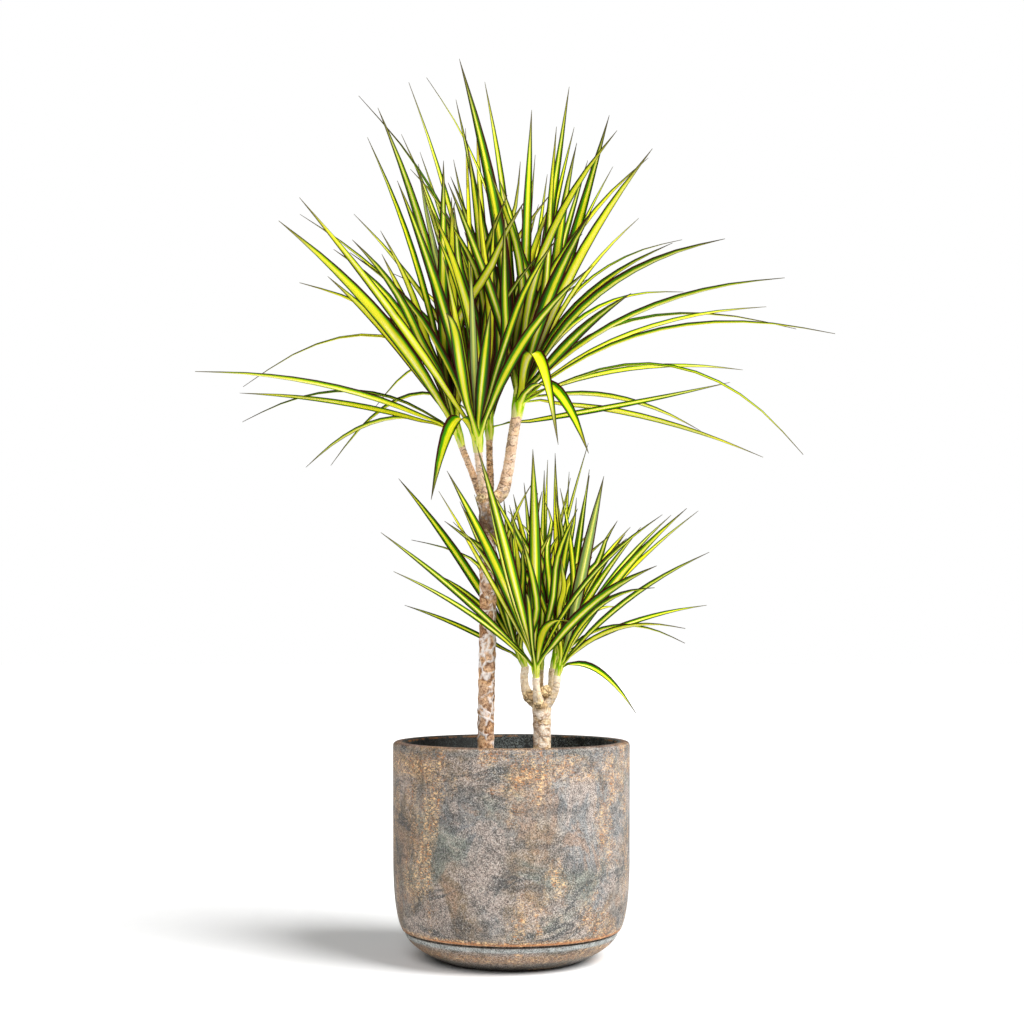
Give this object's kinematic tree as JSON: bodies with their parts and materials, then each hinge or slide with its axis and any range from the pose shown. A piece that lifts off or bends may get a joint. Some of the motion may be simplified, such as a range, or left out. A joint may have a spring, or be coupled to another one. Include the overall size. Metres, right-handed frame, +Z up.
{
  "type": "potted plant",
  "caption": "Dracaena with arching yellow-striped leaves on two bare canes, standing in a round weathered stone-look pot.",
  "frame": {"origin": "on the floor under the middle of the pot", "axes": "+Z up, +X to the plant's right as seen from its best side, -Y towards that viewer"},
  "size_m": [0.6401, 0.5398, 0.9319],
  "materials": {
    "pot": "matte grey-green weathered coating with fine copper specks",
    "soil": "dark crumbly potting soil",
    "bark_tall": "tan bark with pale leaf scars",
    "bark_short": "cream bark with brown rings",
    "leaf": "satin green leaf with a yellow middle stripe and thin dark red edges"
  },
  "bodies": {
    "root": {"pot": "pot", "soil": "soil", "tall_cane": "bark_tall", "short_cane": "bark_short", "tall_head_left": "leaf", "tall_head_front": "leaf", "tall_head_back": "leaf", "tall_head_right": "leaf", "short_head_left": "leaf", "short_head_front": "leaf", "short_head_back": "leaf", "short_head_right_back": "leaf", "short_head_right_front": "leaf"}
  },
  "joints": []
}
